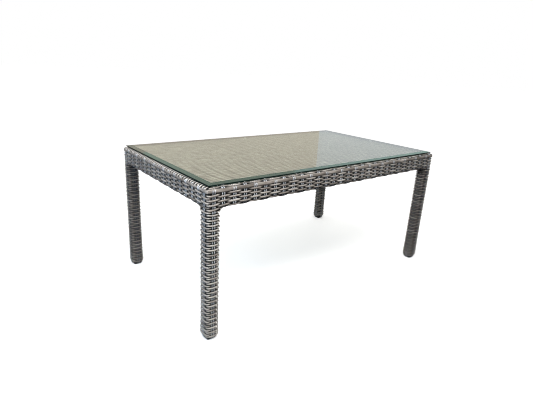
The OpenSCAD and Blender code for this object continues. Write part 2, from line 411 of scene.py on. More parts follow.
def apron_row(side, row, corner_turn=math.pi / 4, tail=0.0, sink=0.0):
    """One row of weaver along one side, with the rows counted up from under the hem."""
    plan, out, column, along = side_plan(side, corner_turn, tail)
    half, _, _, places, first = SIDES[side]
    count = len(places)
    wave = weave_wave(column + row)
    if row == BAND:
        depth = (BAND_OVER + BAND_UNDER) / 2 + (BAND_OVER - BAND_UNDER) / 2 * wave
        width, thickness = np.full(len(wave), BAND_W), BAND_T
    else:
        depth = MID + SWING * wave
        width, thickness = squeezed(APRON_WEAVER_W, wave, APRON_SQUEEZE), WEAVER_T
    depth += APRON_CORNER_BULGE * corner_bulge(column, first, count)
    past_last_pair = np.abs(column - first - (count - 1) / 2) - (count - 1) / 2
    depth -= sink * np.clip(past_last_pair / SINK_COLUMNS, 0, 1)
    s = ROWS[row] - (leg_drop(row, along, half) if row >= LEG_ROW else 0 * along)
    if row == BAND and side in ("left", "right"):
        tucked = np.clip((half - ROLL_R - np.abs(along)) / BAND_TUCK_REACH, 0, 1)
        width -= BAND_TUCK * tucked
        s -= BAND_TUCK / 2 * tucked
    base, normal = over_frame(s)
    if ROWS[row] < 0:
        flat = near_leg(along, half)[:, None]
        wall = np.stack([np.full(len(s), WEAVE), BAR_Z + s], -1)
        base = base + (wall - base) * flat
        normal = unit(normal + (np.array([-1.0, 0.0]) - normal) * flat)
    if row < LEG_ROW:
        keep = np.abs(along) < half - LEG_W + HEM_INTO_LEG
        kept = [values[keep] for values in (plan, out, base, normal, depth, width, along, wave)]
        plan, out, base, normal, depth, width, along, wave = kept
    place = base + normal * depth[:, None]
    points = plan + out * (ROLL_R - place[:, 0])[:, None]
    points[:, 2] = place[:, 1] + ROW_WOBBLE[row](along) - ROW_SAG * wave
    tilt = out * -normal[:, :1]
    tilt[:, 2] = normal[:, 1]
    return strand(points, tilt, depth, width, thickness, ROW_TONES[row])


def apron_loop(row):
    """One row all round the table, cut at the upright corners into a strand for each side."""
    parts = [apron_row(side, row) for side in SIDES]
    tangents = loop_tangents(np.concatenate([part["points"][:-1] for part in parts]))
    first = 0
    start = 0.0
    for part in parts:
        count = len(part["points"])
        part["tangents"] = np.take(tangents, np.arange(first, first + count), axis=0, mode="wrap")
        part["start"] = start
        first += count - 1
        start += float(np.linalg.norm(np.diff(part["points"], axis=0), axis=1).sum())
    return dict(zip(SIDES, parts))


# The lowest rows lie straighter than the others.
STRAIGHT_ROWS = 4
STRAIGHT_ROW_WOBBLE = 0.08 * MM
FREE_ROW_WOBBLE = 0.2 * MM


def row_wobbles(count):
    """One slow waver for each row, the same on every side so that the rows meet at the corners."""
    made = []
    for row in range(count):
        waves = RNG.uniform(0.08, 0.3, 2)
        starts = RNG.uniform(0, math.tau, 2)
        size = STRAIGHT_ROW_WOBBLE if row < STRAIGHT_ROWS else FREE_ROW_WOBBLE

        def waver(s, waves=waves, starts=starts, size=size):
            fade = np.cos(s / np.max(np.abs(s)) * math.pi / 2)
            return size * fade * sum(np.sin(math.tau * s / w + a) for w, a in zip(waves, starts))

        made.append(waver)
    return made


ROW_WOBBLE = row_wobbles(len(ROWS))
ROW_TONES = RNG.uniform(0.2, 0.8, len(ROWS))
ROW_TONES[BAND] = 0.2

# How far from the leg the short strands under the hem's ends lie, and how far behind the weavers.
FILLER_INSETS = (3.2 * MM, 7.5 * MM)
FILLER_BACK = 0.3 * MM


def corner_fillers(side):
    """Short strands pressed in under each end of the hem that close the corner between it and the leg."""
    half, face, quarters, _, _ = SIDES[side]
    strands = []
    for end in (-1, 1):
        for inset in FILLER_INSETS:
            z = np.linspace(LEG_TOP_ROW + inset / 2, BAR_Z + BAR_R, 5)
            x = np.full(len(z), end * (half - LEG_W + inset))
            points = turned(np.stack([x, 0 * z - face + WEAVE - UNDER + FILLER_BACK, z], -1), quarters)
            normals = turned(np.tile([0.0, -1.0, 0.0], (len(z), 1)), quarters)
            strands.append(strand(points, normals, UNDER, WEAVER_W, STAKE_T, RNG.random()))
    return strands


APRON_LOOPS = [apron_loop(row) for row in range(LEG_ROW, BAND + 1)]


def apron_rows(side):
    rows = [apron_row(side, row) for row in range(LEG_ROW)] + [loop[side] for loop in APRON_LOOPS]
    if side in ("front", "back"):
        rows.append(apron_row(side, EDGE_ROW, corner_turn=math.pi / 2, tail=EDGE_ROW_TAIL, sink=MID))
    return rows + corner_fillers(side)


# ---- stakes ----


def polyline(corners, step):
    """Evenly spaced points along straight lines between corners, without the last corner."""
    parts = []
    for a, b in zip(corners[:-1], corners[1:]):
        a, b = np.array(a), np.array(b)
        n = max(2, round(float(np.linalg.norm(b - a)) / step))
        parts.append(a + (b - a) * (np.arange(n) / n)[:, None])
    return np.concatenate(parts)


STAKE_STEP = ROW_PITCH / 4
TAIL_STEP = 4 * MM
STAKE_END_Z = RAIL_TOP - 6 * MM

# The pairs on the legs' faces reach this far below the apron, and this far in on the top.
LEG_STAKE_FOOT = 1 * MM
LEG_STAKE_HEAD = 4 * MM

# Painted shade on the rolled edge's stakes, and the glass rim's painted shadow on the weave under it: the
# strands there are shaded as if they lay nearer to the frame by these shares.
STAKE_EDGE_SHADE = 0.42
RIM_SHADOW = 0.75
EDGE_S = BAND_S + BAND_W / 2
EDGE_FADE = 3 * MM
RIM_S = WALL + 12.5 * MM
RIM_FADE = 1.5 * MM


def rim_shadow(s):
    """How much nearer to the frame a strand counts at distance s: the painted shadow of the glass's rim."""
    return RIM_SHADOW * np.clip((s - RIM_S) / RIM_FADE, 0, 1)


def stake_tail():
    """A stake's hidden end: from its staple down the rail's inner face, then out behind the lower rail."""
    low = rail_low.z
    corners = [
        (RAIL_INNER, STAKE_END_Z),
        (RAIL_INNER, low),
        (BAR_U + BAR_R, BAR_Z + 1.5 * MM),
    ]
    points = polyline(corners, TAIL_STEP)
    slanted = unit(np.array([[1.0, -0.45]]))
    normals = np.where(points[:, 1:] > low + 1 * MM, [1.0, 0.0], slanted)
    return points, normals


def stake_depth(s, column, drops):
    """How far a stake stands off the frame: further where a weaver passes behind it."""
    behind = (column + np.arange(len(ROWS))) % 2 == 1
    depths = np.where(behind, STAKE_OUT, STAKE_IN)
    depths[BAND] = STAKE_ON_BAND if behind[BAND] else STAKE_IN_BAND
    return np.interp(s, ROWS - drops, depths)


def apron_stake_path(side, index):
    """A stake's line over the frame: (inward, height) points, their normals and their depth for grime."""
    half, _, _, places, first = SIDES[side]
    on_leg = index in (0, len(places) - 1)
    if on_leg:
        low = APRON_Z - BAR_Z - LEG_STAKE_FOOT
        s = np.arange(low, WALL_END + LEG_STAKE_HEAD, STAKE_STEP)
        base, normal = over_frame(np.clip(s, 0, None))
        base[:, 1] += np.clip(s, None, 0)
    else:
        s = np.arange(-math.pi * HEM_R, WALL_END + LIP - ROLL_R, STAKE_STEP)
        base, normal = over_frame(s)
    drops = np.array([float(leg_drop(row, places[index], half)) for row in range(len(ROWS))])
    depth = stake_depth(s, first + index, drops)
    on_edge = np.clip((s - EDGE_S) / EDGE_FADE, 0, 1)
    if side in ("left", "right"):
        depth += (UNDER - depth) * on_edge
    points = base + normal * depth[:, None]
    # Painted shade on the rolled edge, and the painted shadow of the glass's rim.
    depth = depth * (1 - STAKE_EDGE_SHADE * on_edge) * (1 - rim_shadow(s))
    if not on_leg:
        tail, tail_normal = stake_tail()
        points = np.concatenate([tail + tail_normal * (STAKE_T / 2 + CLEARANCE), points])
        normal = np.concatenate([tail_normal, normal])
        depth = np.concatenate([np.full(len(tail), STAKE_T / 2), depth])
    return points, normal, depth


def apron_stake_strands(side):
    _, face, quarters, places, _ = SIDES[side]
    strands = []
    for index, place in enumerate(places):
        path, normal, depth = apron_stake_path(side, index)
        for half_step in (-1, 1):
            x = np.full(len(path), place + half_step * PAIR_GAP / 2)
            points = np.stack([x, -face + path[:, 0], path[:, 1]], -1)
            normals = np.stack([0 * x, normal[:, 0], normal[:, 1]], -1)
            points, normals = turned(points, quarters), turned(normals, quarters)
            strands.append(strand(points, normals, depth, STAKE_W, STAKE_T, RNG.random()))
    return strands


# ---- the top ----


TOP_WEAVER_T = 1.9 * MM
TOP_STAKE_T = 1.4 * MM
TOP_OVER = WEAVE - TOP_WEAVER_T / 2 - 0.2 * MM
TOP_UNDER = TOP_OVER - 1.6 * MM
TOP_STAKE_OUT = TOP_UNDER + (TOP_WEAVER_T + TOP_STAKE_T) / 2
TOP_STAKE_IN = TOP_OVER - (TOP_WEAVER_T + TOP_STAKE_T) / 2
TOP_ROW_Y = np.linspace(-HALF_W + FIRST_TOP_ROW, HALF_W - FIRST_TOP_ROW, TOP_ROWS)
TOP_ROW_NUMBER = len(ROWS) + np.arange(TOP_ROWS)
TOP_ROW_WOBBLE = 0.2 * MM
TOP_STAKE_WOBBLE = 0.4 * MM

# Painted shade on the top's stakes, sunk between the weavers, as if they lay this much nearer to the frame.
TOP_STAKE_SHADE = 0.2


def top_row_strand(index, tone):
    x = np.linspace(-HALF_L + LIP, HALF_L - LIP, 4 * len(LONG_PLACES) + 1)
    column = np.interp(x, LONG_PLACES, np.arange(len(LONG_PLACES)))
    wave = weave_wave(column + TOP_ROW_NUMBER[index])
    height = (TOP_OVER + TOP_UNDER) / 2 + (TOP_OVER - TOP_UNDER) / 2 * wave
    y = TOP_ROW_Y[index] + wobble(x, TOP_ROW_WOBBLE) * np.cos(x / HALF_L * math.pi / 2)
    points = np.stack([x, y, RAIL_TOP + height], -1)
    normals = np.tile([0.0, 0.0, 1.0], (len(x), 1))
    width = squeezed(TOP_WEAVER_W, wave, TOP_SQUEEZE)
    return strand(points, normals, MID + SWING * wave, width, TOP_WEAVER_T, tone)


def turns_over(index, side):
    """Whether a top weaver passes over the leg pairs' line at this end and comes out over the edge."""
    column = 0 if side == "left" else len(LONG_PLACES) - 1
    return (column + TOP_ROW_NUMBER[index]) % 2 == 0


EDGE_TURN_TUCK = 2 * MM
EDGE_TURN_RISE = 2.5 * MM


def edge_turn_strand(index, side, tone):
    """A top weaver's end, bent over a short side's rolled edge and tucked in behind the band."""
    sign = -1 if side == "left" else 1
    bend = np.linspace(BAND_S - EDGE_TURN_TUCK, WALL_END + EDGE_TURN_TUCK, 15)
    s = np.append(bend, WALL_END + LIP - ROLL_R)
    base, normal = over_frame(s)
    depth = UNDER + (OVER - UNDER) * np.clip((s - BAND_S) / EDGE_TURN_RISE, 0, 1)
    path = base + normal * depth[:, None]
    y = np.full(len(s), TOP_ROW_Y[index])
    points = np.stack([sign * (HALF_L - path[:, 0]), y, path[:, 1]], -1)
    normals = np.stack([-sign * normal[:, 0], 0 * y, normal[:, 1]], -1)
    # The painted shadow of the glass's rim falls on the turn's end.
    return strand(points, normals, depth * (1 - rim_shadow(s)), EDGE_TURN_W, WEAVER_T, tone)


def edge_turns(side, tones):
    # Painted light: the turns get a lighter tone than the top's rows, for the light on the rolled edge.
    return [edge_turn_strand(i, side, 0.7 + 0.3 * tones[i]) for i in range(TOP_ROWS) if turns_over(i, side)]


def top_stake_strands():
    strands = []
    for index, place in enumerate(LONG_PLACES[1:-1], 1):
        for half_step in (-1, 1):
            y = np.linspace(-HALF_W + LIP, HALF_W - LIP, 2 * TOP_ROWS - 4)
            row = np.interp(y, TOP_ROW_Y, TOP_ROW_NUMBER)
            over = np.cos(math.pi * (row + index))
            height = (TOP_STAKE_OUT + TOP_STAKE_IN) / 2 - (TOP_STAKE_OUT - TOP_STAKE_IN) / 2 * over
            waver = wobble(y, TOP_STAKE_WOBBLE) * np.cos(y / HALF_W * math.pi / 2)
            x = place + half_step * PAIR_GAP / 2 + waver
            points = np.stack([x, y, RAIL_TOP + height], -1)
            normals = np.tile([0.0, 0.0, 1.0], (len(y), 1))
            # Painted shade: the stakes sunk between the weavers come out dark.
            depth = height * TOP_STAKE_SHADE
            strands.append(strand(points, normals, depth, STAKE_W, TOP_STAKE_T, RNG.random()))
    return strands


# ---- the legs ----


LEG_ROWS = int((LEG_TOP_ROW - LEG_Z - LEG_WEAVER_W / 2) / LEG_ROW_PITCH) + 1
LEG_PLAN_R = 3 * MM
LEG_FLAT_SHARE = 0.84
LEG_STAKE_UP = 0.6 * MM


def leg_plan():
    """A closed line round the leg tube: points, normals and the face number, whole in a face's middle.

    The number runs on evenly over a face's flat share, and the rest of the way round the rounded corner.
    """
    half, r = TUBE_W / 2, LEG_PLAN_R
    points, normals, faces = [], [], []
    for quarter in range(4):
        x = np.linspace(-half + r, half - r, 9)
        a = np.radians([22.5, 45, 67.5])
        px = np.concatenate([x, half - r + r * np.sin(a)])
        py = np.concatenate([np.full(len(x), -half), -half + r - r * np.cos(a)])
        nx = np.concatenate([0 * x, np.sin(a)])
        ny = np.concatenate([0 * x - 1, -np.cos(a)])
        f = np.concatenate([x / (2 * half) * LEG_FLAT_SHARE, [0.46, 0.5, 0.54]])
        points.append(turned(np.stack([px, py, 0 * px], -1), quarter))
        normals.append(turned(np.stack([nx, ny, 0 * nx], -1), quarter))
        faces.append(f + quarter)
    return np.concatenate(points), np.concatenate(normals), np.concatenate(faces)


LEG_POINTS, LEG_NORMALS, LEG_FACES = leg_plan()
LEG_FLARE = 1.4 * MM
LEG_FLARE_H = 50 * MM
LEG_CORNER_BULGE = 1.2 * MM
LEG_RING_TILT = 0.3 * MM

# Every other ring is looser and bulges more at the corners.
LEG_BULGE_CHANGE = 0.7


def leg_flare(z):
    """The weave stands off a little more near the floor."""
    return LEG_FLARE * np.clip((LEG_Z + LEG_FLARE_H - z) / LEG_FLARE_H, 0, 1)


def set_on_leg(points, corner, z):
    """Moves points about a leg's own middle to one of the corners, at the heights z."""
    points[:, 0] += corner[0] * (HALF_L - LEG_MID)
    points[:, 1] += corner[1] * (HALF_W - LEG_MID)
    points[:, 2] = z
    return points


def leg_ring(corner, row):
    z = LEG_TOP_ROW - row * LEG_ROW_PITCH
    wave = weave_wave(LEG_FACES + row + corner_parity(corner))
    bulge = LEG_CORNER_BULGE * (1 + LEG_BULGE_CHANGE * (-1) ** row)
    depth = MID + SWING * wave + bulge * (1 - wave**2) + leg_flare(z)
    lift = LEG_RING_TILT * np.sin(LEG_FACES * math.pi / 2 + RNG.uniform(0, math.tau))
    sag = LEG_SAG * np.cos(math.tau * LEG_FACES)
    points = set_on_leg(LEG_POINTS + LEG_NORMALS * depth[:, None], corner, z + lift - sag)
    width = squeezed(LEG_WEAVER_W, wave, LEG_SQUEEZE)
    # The leg's painted light tone, with a random tone for each ring.
    tone = LEG_LIGHT_TONES[corner] + RNG.uniform(-0.2, 0.2)
    return strand(points, LEG_NORMALS, depth, width, WEAVER_T, tone, closed=True)


def corner_parity(corner):
    """0 where the first ring below the apron passes over the leg's front and back pairs, else 1."""
    return 0 if corner[0] > 0 else 1


def leg_stake_strands(corner):
    strands = []
    z = np.arange(LEG_Z + LEG_STAKE_UP, APRON_Z, LEG_ROW_PITCH / 3)
    row = (LEG_TOP_ROW - z) / LEG_ROW_PITCH
    for quarter in range(4):
        for half_step in (-1, 1):
            over = np.cos(math.pi * (row + quarter + corner_parity(corner)))
            depth = (STAKE_OUT + STAKE_IN) / 2 - (STAKE_OUT - STAKE_IN) / 2 * over + leg_flare(z)
            x = np.full(len(z), half_step * PAIR_GAP / 2)
            line = np.stack([x, -TUBE_W / 2 - depth, 0 * z], -1)
            points = set_on_leg(turned(line, quarter), corner, z)
            normals = turned(np.tile([0.0, -1.0, 0.0], (len(z), 1)), quarter)
            # The leg's painted light tone, with a random tone for each stake.
            tone = LEG_LIGHT_TONES[corner] + RNG.uniform(-0.3, 0.3)
            # Painted shade, more on some legs than on others.
            shade_depth = depth * (1 - LEG_STAKE_SHADE[corner])
            strands.append(strand(points, normals, shade_depth, STAKE_W, STAKE_T, tone))
    return strands


# ---- materials ----


def new_material(name):
    material = bpy.data.materials.new(name)
    material.use_nodes = True
    material.node_tree.nodes.clear()
    return material, material.node_tree


def feed(tree, socket, value):
    """Sets an input to a plain value, or links it to another node's output."""
    if isinstance(value, bpy.types.NodeSocket):
        tree.links.new(value, socket)
    else:
        socket.default_value = value


def node(tree, kind, **inputs):
    """A new node with values or other nodes' outputs on its named inputs."""
    made = tree.nodes.new(kind)
    for name, value in inputs.items():
        feed(tree, made.inputs[name.replace("_", " ")], value)
    return made


def maths(tree, operation, *values):
    """The result of one step of arithmetic on values or other nodes' outputs."""
    made = tree.nodes.new("ShaderNodeMath")
    made.operation = operation
    for socket, value in zip(made.inputs, values):
        feed(tree, socket, value)
    return made.outputs[0]


def attribute(tree, label):
    """A number that the mesh holds for each vertex."""
    made = tree.nodes.new("ShaderNodeAttribute")
    made.attribute_name = label
    return made.outputs["Fac"]


def ramp(tree, place_on_ramp, stops):
    """A colour picked from stops of (place, colour)."""
    made = node(tree, "ShaderNodeValToRGB", Fac=place_on_ramp)
    stops = list(stops)
    elements = made.color_ramp.elements
    while len(elements) < len(stops):
        elements.new(0.5)
    for element, (place, colour) in zip(elements, stops):
        element.position = place
        element.color = (*colour, 1)
    return made.outputs["Color"]


def mixed_shaders(tree, share, first, second):
    """The first shader where share is 0, and the second where it is 1."""
    mix = node(tree, "ShaderNodeMixShader", Fac=share)
    tree.links.new(first.outputs[0], mix.inputs[1])
    tree.links.new(second.outputs[0], mix.inputs[2])
    return mix


def show(tree, shader):
    node(tree, "ShaderNodeOutputMaterial", Surface=shader.outputs[0])


def show_grained(tree, colour, grain, rough_low, rough_high, strength, height, **settings):
    """A surface of this colour, with a grain in its roughness and its height."""
    rough = node(tree, "ShaderNodeMapRange", Value=grain, To_Min=rough_low, To_Max=rough_high)
    bump = node(tree, "ShaderNodeBump", Strength=strength, Distance=height, Height=grain)
    fed = {"Base_Color": colour, "Roughness": rough.outputs["Result"], "Normal": bump.outputs["Normal"]}
    show(tree, node(tree, "ShaderNodeBsdfPrincipled", **fed, **settings))


# How far apart two strands' patterns lie for one whole step of tone, and what that step adds to the shade.
TONE_APART = 37
TONE_SHADE = 0.22

# The shades at which a strand has its dark, middle and light colours.
SHADE_STOPS = (0.45, 0.6, 0.75)


def strand_material(name, colours, painted_shade, roughness):
    """Resin strand: streaks along it, fine grooves, a tone for each strand, and painted shade down in the
    weave.
    """
    material, tree = new_material(name)
    uv = tree.nodes.new("ShaderNodeUVMap")
    uv.uv_map = "Strand"
    split = node(tree, "ShaderNodeSeparateXYZ", Vector=uv.outputs["UV"])
    tone = attribute(tree, "tone")

    def noise(along, across, **settings):
        """Noise with one scale for a metre along the strand and one for a whole turn round it."""
        x = maths(tree, "MULTIPLY", split.outputs["X"], along)
        y = maths(tree, "MULTIPLY", split.outputs["Y"], across)
        z = maths(tree, "MULTIPLY", tone, TONE_APART)
        place = node(tree, "ShaderNodeCombineXYZ", X=x, Y=y, Z=z)
        return node(tree, "ShaderNodeTexNoise", Vector=place.outputs[0], Scale=1, **settings).outputs["Fac"]

    streaks = noise(30, 9, Detail=4, Roughness=0.6)
    patches = noise(16, 0.6, Detail=2)
    grooves = noise(120, 34, Detail=3, Roughness=0.7)
    pattern = maths(tree, "MULTIPLY_ADD", streaks, 0.5, maths(tree, "MULTIPLY", patches, 0.5))
    shade = maths(tree, "MULTIPLY_ADD", tone, TONE_SHADE, pattern)
    # Painted shade: near black where the unshaded share is 0, the strand's own colours where it is 1.
    painted_shading = tree.nodes.new("ShaderNodeMix")
    painted_shading.data_type = "RGBA"
    feed(tree, painted_shading.inputs["Factor"], attribute(tree, "unshaded"))
    feed(tree, painted_shading.inputs["A"], (*painted_shade, 1))
    feed(tree, painted_shading.inputs["B"], ramp(tree, shade, zip(SHADE_STOPS, colours)))
    rough_low, rough_high = roughness - 0.1, roughness + 0.15
    show_grained(tree, painted_shading.outputs["Result"], grooves, rough_low, rough_high, 0.55, 0.25 * MM, IOR=1.48)
    return material


def grained_material(name, colour, lighter, scale, roughness, metallic=0.0, grain_h=0.1 * MM, ior=1.5):
    """Coated metal or moulded plastic: a fine grain in roughness and height, and wear in its colour."""
    material, tree = new_material(name)
    place = tree.nodes.new("ShaderNodeTexCoord").outputs["Object"]
    grain = node(tree, "ShaderNodeTexNoise", Vector=place, Scale=scale, Detail=4, Roughness=0.65)
    wear = node(tree, "ShaderNodeTexNoise", Vector=place, Scale=scale / 40, Detail=3)
    worn = ramp(tree, wear.outputs["Fac"], [(0.3, colour), (0.75, lighter)])
    rough_low, rough_high = roughness - 0.12, roughness + 0.12
    show_grained(
        tree, worn, grain.outputs["Fac"], rough_low, rough_high, 0.5, grain_h, Metallic=metallic, IOR=ior)
    return material


def glass_material(name, tint, gloss):
    """Clear plate: what is behind shows through a tint, and the first face reflects for both."""
    material, tree = new_material(name)
    clear = node(tree, "ShaderNodeBsdfTransparent", Color=(*tint, 1))
    mirror = node(tree, "ShaderNodeBsdfAnisotropic", Color=(*gloss, 1), Roughness=0.02)
    one_face = node(tree, "ShaderNodeFresnel", IOR=1.5).outputs[0]
    twice = maths(tree, "MULTIPLY", one_face, 2)
    both_faces = maths(tree, "DIVIDE", twice, maths(tree, "ADD", one_face, 1))
    inside = tree.nodes.new("ShaderNodeNewGeometry").outputs["Backfacing"]
    share = maths(tree, "MULTIPLY", both_faces, maths(tree, "SUBTRACT", 1, inside))
    show(tree, mixed_shaders(tree, share, clear, mirror))
    return material


# ---- meshes built from faces ----


def plain_mesh(name, verts, faces, rounded=False):
    """A mesh of these faces. On a rounded one the sides are shaded smooth and the end caps flat."""
    mesh = bpy.data.meshes.new(name)
    mesh.from_pydata(verts, [], faces)
    if rounded:
        mesh.polygons.foreach_set("use_smooth", [len(f) == 4 for f in faces])
    mesh.update()
    return mesh


def stacked_faces(levels, count, base=0):
    """Faces round rings of count vertices that are stacked from the bottom up, with a cap at both ends."""
    faces = [tuple(base + i for i in reversed(range(count)))]
    for low in range(base, base + (levels - 1) * count, count):
        for i in range(count):
            k = (i + 1) % count
            faces.append((low + i, low + k, low + count + k, low + count + i))
    last = base + (levels - 1) * count
    return faces + [tuple(last + i for i in range(count))]


# ---- the glass ----


def rectangle(half_x, half_y, z):
    return [(-half_x, -half_y, z), (half_x, -half_y, z), (half_x, half_y, z), (-half_x, half_y, z)]


BEVEL_W = 15 * MM
GLASS_LAND = 3.2 * MM
ARRIS = 0.4 * MM


def glass_mesh(materials):
    """The plate as stacked rectangles: bottom, arris, upright edge, arris, bevel, flat top."""
    hx, hy = glass_high.x, glass_high.y
    low, high = glass_low.z, glass_high.z
    levels = [
        (hx - ARRIS, hy - ARRIS, low),
        (hx, hy, low + ARRIS),
        (hx, hy, low + GLASS_LAND - ARRIS),
        (hx - ARRIS, hy - ARRIS, low + GLASS_LAND),
        (hx - BEVEL_W, hy - BEVEL_W, high),
    ]
    verts = [v for level in levels for v in rectangle(*level)]
    mesh = plain_mesh("glass_plate", verts, stacked_faces(len(levels), 4))
    for material in materials:
        mesh.materials.append(material)
    face, bevel, edge = [0], [1] * 4, [2] * 4
    mesh.polygons.foreach_set("material_index", face + edge * (len(levels) - 2) + bevel + face)
    mesh.update()
    return mesh


# ---- small parts ----


PAD_R = 6 * MM

# A pad's outline from its foot up, in shares of its radius and its height.
PAD_OUTLINE = [(0.96, 0), (1, 0.25), (0.97, 0.7), (0.86, 0.93), (0.7, 1)]

STAPLE_WIRE = 1.0 * MM
STAPLE_HALF_W = 5.1 * MM
STAPLE_OUT = 2.0 * MM
STAPLE_SUNK = 0.3 * MM


def lathe_mesh(name, centres, profile, count=24):
    """The same turned shape at each centre. profile is its (radius, height) points from the bottom up."""
    verts, faces = [], []
    for centre in centres:
        faces += stacked_faces(len(profile), count, len(verts))
        for radius, height in profile:
            for i in range(count):
                a = math.tau * i / count
                x, y = radius * math.cos(a), radius * math.sin(a)
                verts.append((centre[0] + x, centre[1] + y, centre[2] + height))
    return plain_mesh(name, verts, faces, rounded=True)


def pad_mesh():
    low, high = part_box("anti_slip_pads")
    xs = (low.x + PAD_R, 0, high.x - PAD_R)
    ys = (low.y + PAD_R, 0, high.y - PAD_R)
    centres = [(x, y, low.z) for x in xs for y in ys if x or y]
    profile = [(PAD_R * radius, (high.z - low.z) * height) for radius, height in PAD_OUTLINE]
    return lathe_mesh("anti_slip_pad_set", centres, profile)


def rounded_square_ring(half, r, z, steps=5):
    points = []
    for quarter in range(4):
        for i in range(steps):
            a = math.radians(-90 + 90 * quarter + 90 * i / (steps - 1))
            cx = (half - r) * (1 if quarter in (0, 1) else -1)
            cy = (half - r) * (1 if quarter in (1, 2) else -1)
            points.append((cx + r * math.cos(a), cy + r * math.sin(a), z))
    return points


def glide_mesh(name):
    """A moulded square foot with a rounded sole and its plug up inside the leg tube."""
    low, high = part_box(name)
    centre = (low + high) / 2
    foot = (high.x - low.x) / 2
    foot_h = LEG_Z - low.z
    top = high.z - low.z
    plug = TUBE_W / 2 - 1.5 * MM

    # Half width, corner radius and height of each ring, from the sole up to the plug's end.
    rings = [
        (foot - 2.2 * MM, 2 * MM, 0),
        (foot - 1 * MM, 2.6 * MM, 0.4 * MM),
        (foot - 0.2 * MM, 3 * MM, 1.4 * MM),
        (foot, 3 * MM, 2.6 * MM),
        (foot, 3 * MM, foot_h - 0.5 * MM),
        (foot - 0.5 * MM, 2.6 * MM, foot_h),
        (plug, 1.5 * MM, foot_h),
        (plug, 1.5 * MM, top - 1 * MM),
        (plug - 1 * MM, 1 * MM, top),
    ]
    verts = []
    for half, r, z in rings:
        verts += [(x + centre.x, y + centre.y, low.z + h) for x, y, h in rounded_square_ring(half, r, z)]
    faces = stacked_faces(len(rings), len(verts) // len(rings))
    return plain_mesh(name + "_moulding", verts, faces, rounded=True)


def staple_strands():
    """A round wire staple over each stake pair's end on the inner faces of the top rails."""
    low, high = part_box("stake_staples")
    z = (low.z + high.z) / 2
    w, out = STAPLE_HALF_W, STAPLE_OUT
    half_path = [(w, -STAPLE_SUNK), (w, out * 0.7), (w * 0.93, out * 0.95), (w * 0.8, out)]
    path = [(-x, y) for x, y in half_path] + half_path[::-1]
    strands = []
    for _, face, quarters, places, _ in SIDES.values():
        for place in places[1:-1]:
            points = turned(np.array([(place + x, -face + RAIL_INNER + y, z) for x, y in path]), quarters)
            normals = turned(np.tile([0.0, 0.0, 1.0], (len(path), 1)), quarters)
            strands.append(strand(points, normals, WEAVE, STAPLE_WIRE, STAPLE_WIRE, 0.5))
    return strands


# ---- putting the table together ----

WEAVER_COLOURS = ((0.16, 0.138, 0.12), (0.36, 0.32, 0.285), (0.60, 0.56, 0.51))
STAKE_COLOURS = ((0.32, 0.33, 0.35), (0.55, 0.57, 0.60), (0.74, 0.76, 0.79))
# The last colour given to each resin is painted shade, near black, for the weave's hollows and the strands'
# flanks.
weaver_resin = strand_material("weaver_resin", WEAVER_COLOURS, (0.005, 0.004, 0.004), 0.34)
stake_resin = strand_material("stake_resin", STAKE_COLOURS, (0.006, 0.007, 0.009), 0.42)
powder_coat = grained_material("powder_coat", (0.035, 0.033, 0.031), (0.06, 0.056, 0.052), 1800, 0.55)
black_plastic = grained_material("black_plastic", (0.012, 0.012, 0.012), (0.03, 0.03, 0.03), 1500, 0.5)
clear_rubber = grained_material("clear_rubber", (0.62, 0.64, 0.62), (0.72, 0.74, 0.72), 900, 0.35)
staple_steel = grained_material("staple_steel", (0.52, 0.52, 0.53), (0.68, 0.68, 0.69), 1200, 0.35, 1.0)
plate_glass = glass_material("plate_glass", (0.88, 0.90, 0.86), (0.97, 0.97, 0.95))
bevel_glass = glass_material("bevel_glass", (0.05, 0.07, 0.06), (0.92, 0.97, 0.94))
edge_glass = grained_material(
    "edge_glass", (0.0, 0.006, 0.005), (0.001, 0.014, 0.011), 60, 0.4, grain_h=0.01 * MM, ior=1.15)


def weaver_piece(name, strands, cad_node):
    piece(name, strands_mesh(name, strands), weaver_resin, "base", "wicker_weaver", cad_node)


def stake_piece(name, strands, cad_node):
    piece(name, strands_mesh(name, strands), stake_resin, "base", "wicker_stake", cad_node)


for side in SIDES:
    weaver_piece(side + "_apron_weave", apron_rows(side), side + "_apron_weavers")
    stake_piece(side + "_apron_stake_pairs", apron_stake_strands(side), side + "_apron_stakes")

row_tones = RNG.uniform(0.4, 0.6, TOP_ROWS)
top_rows = [top_row_strand(i, row_tones[i]) for i in range(TOP_ROWS)]
weaver_piece("top_weave", top_rows, "top_weavers")
stake_piece("top_stake_pairs", top_stake_strands(), "top_stakes")
for side in ("left", "right"):
    weaver_piece(side + "_edge_turns", edge_turns(side, row_tones), side + "_edge_wraps")

for name, corner in CORNERS.items():
    rings = [leg_ring(corner, row) for row in range(LEG_ROWS)]
    weaver_piece(name + "_leg_weave", rings, name + "_leg_weavers")
    stake_piece(name + "_leg_stake_pairs", leg_stake_strands(corner), name + "_leg_stakes")
    glide = name + "_foot_glide"
    piece(name + "_glide_moulding", glide_mesh(glide), black_plastic, "base", "black_plastic", glide)

staples = strands_mesh("wire_staples", staple_strands(), ROUND)
piece("wire_staples", staples, staple_steel, "base", "staple_steel", "stake_staples")
piece("soft_pads", pad_mesh(), clear_rubber, "base", "clear_rubber", "anti_slip_pads")
glass = glass_mesh([plate_glass, bevel_glass, edge_glass])
piece("glass_plate", glass, None, "glass", "glass", "glass_top")

for name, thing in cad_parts.items():
    if name.endswith(("_rail", "_cross_bar", "_leg_tube")):
        thing.data.materials.clear()
        thing.data.materials.append(powder_coat)

# ---- stage, light and camera ----


def plain_material(name, colour, strength):
    material, tree = new_material(name)
    show(tree, node(tree, "ShaderNodeEmission", Color=(*colour, 1), Strength=strength))
    return material


# How much the floor is dimmed by each face of the glass that it is looked at through.
GLASS_DIM = 0.65


